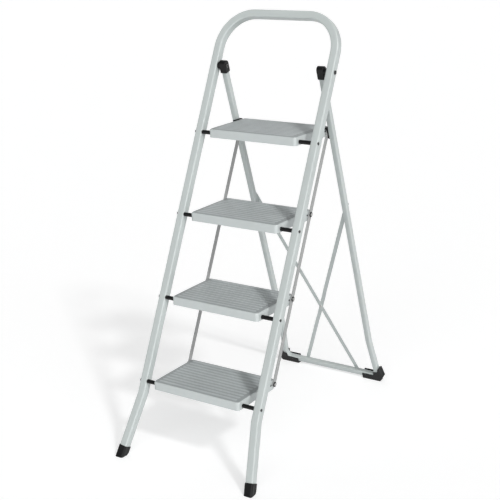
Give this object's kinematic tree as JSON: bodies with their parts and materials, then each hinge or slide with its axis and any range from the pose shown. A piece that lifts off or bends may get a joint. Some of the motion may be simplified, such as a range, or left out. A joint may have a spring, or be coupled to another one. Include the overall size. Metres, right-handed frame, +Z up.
{
  "type": "folding step ladder",
  "caption": "Folding step ladder with wide ribbed treads, a tall handrail hoop, a crossed-brace rear frame and black plastic feet.",
  "frame": {"origin": "on the floor, centred on the footprint of the open ladder", "axes": "+Z up, -Y towards the person who climbs, +X to that person's right"},
  "size_m": [0.4838, 0.8902, 1.2442],
  "materials": {
    "white_powder_coat": "satin",
    "grey_powder_coat": "satin",
    "grey_link_coat": "satin",
    "grey_tread_pad": "matte",
    "black_plastic": "satin",
    "zinc_plated_steel": "satin",
    "blackened_steel": "satin"
  },
  "bodies": {
    "front_stand": {"front_frame": "white_powder_coat", "front_foot_left": "black_plastic", "front_foot_right": "black_plastic", "tread_axle_1": "blackened_steel", "tread_axle_2": "blackened_steel", "tread_axle_3": "blackened_steel", "tread_axle_4": "blackened_steel", "axle_sleeves_1": "black_plastic", "axle_sleeves_2": "black_plastic", "axle_sleeves_3": "black_plastic", "axle_sleeves_4": "black_plastic", "pivot_spacer_left": "black_plastic", "pivot_spacer_right": "black_plastic", "pivot_bolt_left": "blackened_steel", "pivot_bolt_right": "blackened_steel", "pivot_nuts": "zinc_plated_steel"},
    "rear_stand": {"rear_frame": "white_powder_coat", "rear_foot_left": "black_plastic", "rear_foot_right": "black_plastic", "pivot_cap_left": "black_plastic", "pivot_cap_right": "black_plastic", "cross_brace_1": "white_powder_coat", "cross_brace_2": "white_powder_coat", "brace_rivets": "zinc_plated_steel", "latch_pins": "zinc_plated_steel", "latch_rollers": "black_plastic"},
    "tread_1_body": {"tread_1": "grey_powder_coat", "tread_pad_1": "grey_tread_pad", "link_pins_1": "zinc_plated_steel", "link_bushes_1": "black_plastic", "link_washers_1": "black_plastic", "corner_rivets_1": "black_plastic"},
    "tread_2_body": {"tread_2": "grey_powder_coat", "tread_pad_2": "grey_tread_pad", "link_pins_2": "zinc_plated_steel", "link_bushes_2": "black_plastic", "link_washers_2": "black_plastic", "corner_rivets_2": "black_plastic"},
    "tread_3_body": {"tread_3": "grey_powder_coat", "tread_pad_3": "grey_tread_pad", "link_pins_3": "zinc_plated_steel", "link_bushes_3": "black_plastic", "link_washers_3": "black_plastic", "corner_rivets_3": "black_plastic"},
    "tread_4_body": {"tread_4": "grey_powder_coat", "tread_pad_4": "grey_tread_pad", "link_pins_4": "zinc_plated_steel", "link_bushes_4": "black_plastic", "corner_rivets_4": "black_plastic"},
    "link_bars": {"link_bar_left": "grey_link_coat", "link_bar_right": "grey_link_coat"},
    "latch_left": {"latch_hook_left": "black_plastic"},
    "latch_right": {"latch_hook_right": "black_plastic"}
  },
  "joints": [
    {"name": "fold", "type": "hinge", "parent": "front_stand", "child": "rear_stand", "pos_m": [0, 0.08731, 1.0831], "axis": [-1, 0, 0], "range_deg": [0, 40.4]},
    {"name": "tread_1_turn", "type": "hinge", "parent": "front_stand", "child": "tread_1_body", "pos_m": [0, -0.33663, 0.21173], "axis": [1, 0, 0], "range_deg": [0, 58.1]},
    {"name": "tread_2_turn", "type": "hinge", "parent": "front_stand", "child": "tread_2_body", "pos_m": [0, -0.22759, 0.44033], "axis": [1, 0, 0], "range_deg": [0, 58.1]},
    {"name": "tread_3_turn", "type": "hinge", "parent": "front_stand", "child": "tread_3_body", "pos_m": [0, -0.11855, 0.66893], "axis": [1, 0, 0], "range_deg": [0, 58.1]},
    {"name": "tread_4_turn", "type": "hinge", "parent": "front_stand", "child": "tread_4_body", "pos_m": [0, -0.00951, 0.89753], "axis": [1, 0, 0], "range_deg": [0, 58.1]},
    {"name": "link_turn", "type": "hinge", "parent": "tread_4_body", "child": "link_bars", "pos_m": [0, 0.14899, 0.90103], "axis": [1, 0, 0], "range_deg": [-58.1, 0]},
    {"name": "latch_left", "type": "hinge", "parent": "tread_4_body", "child": "latch_left", "pos_m": [-0.1567, 0.14899, 0.90103], "axis": [1, 0, 0], "range_deg": [0, 25]},
    {"name": "latch_right", "type": "hinge", "parent": "tread_4_body", "child": "latch_right", "pos_m": [0.1567, 0.14899, 0.90103], "axis": [1, 0, 0], "range_deg": [0, 25]}
  ],
  "couplings": [
    {"joint": "tread_1_turn", "follows": "fold", "ratio": 1.4356},
    {"joint": "tread_2_turn", "follows": "fold", "ratio": 1.4356},
    {"joint": "tread_3_turn", "follows": "fold", "ratio": 1.4356},
    {"joint": "tread_4_turn", "follows": "fold", "ratio": 1.4356},
    {"joint": "link_turn", "follows": "fold", "ratio": -1.4356}
  ]
}
